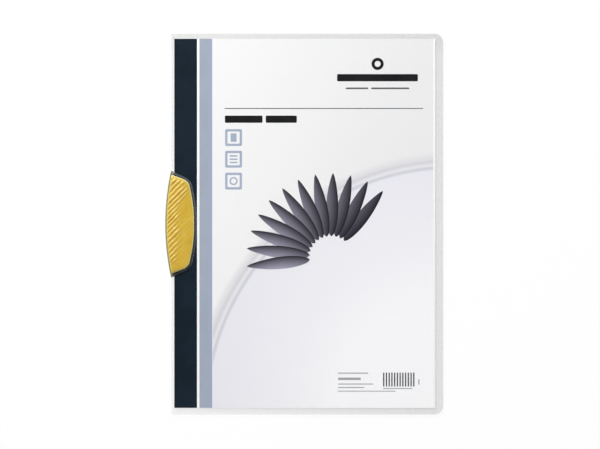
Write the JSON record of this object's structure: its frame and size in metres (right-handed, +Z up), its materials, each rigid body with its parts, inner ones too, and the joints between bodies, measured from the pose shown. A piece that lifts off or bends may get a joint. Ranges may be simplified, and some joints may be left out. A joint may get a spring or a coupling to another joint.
{
  "type": "clip folder",
  "caption": "A4 clip folder with a folded clear film cover, a printed insert sheet and a one-piece clip that swings out from the spine edge.",
  "frame": {"origin": "centre of the bounding box at the level of the surface that the folder lies on", "axes": "+Z up out of the front cover, +Y up the page, +X from the spine to the opening edge"},
  "size_m": [0.2238, 0.3064, 0.0069],
  "materials": {
    "cover_film": "clear film, fine satin haze",
    "printed_sheet": "smooth printed paper",
    "clip_plastic": "satin moulded plastic, shallow slanting ridges",
    "rivet_plastic": "plain moulded plastic"
  },
  "bodies": {
    "cover": {"back_cover": "cover_film", "insert_sheet": "printed_sheet", "pivot_rivet": "rivet_plastic", "pivot_cap": "rivet_plastic"},
    "front_panel": {"front_cover": "cover_film"},
    "clip": {"swing_clip": "clip_plastic"}
  },
  "joints": [
    {"name": "front_cover_hinge", "type": "hinge", "parent": "cover", "child": "front_panel", "pos_m": [-0.0854, 0, 0.00345], "axis": [0, -1, 0], "range_deg": [0, 140]},
    {"name": "clip_swing", "type": "hinge", "parent": "cover", "child": "clip", "pos_m": [-0.1011, 0.035, 0.0007], "axis": [0, 0, -1], "range_deg": [0, 75]}
  ]
}
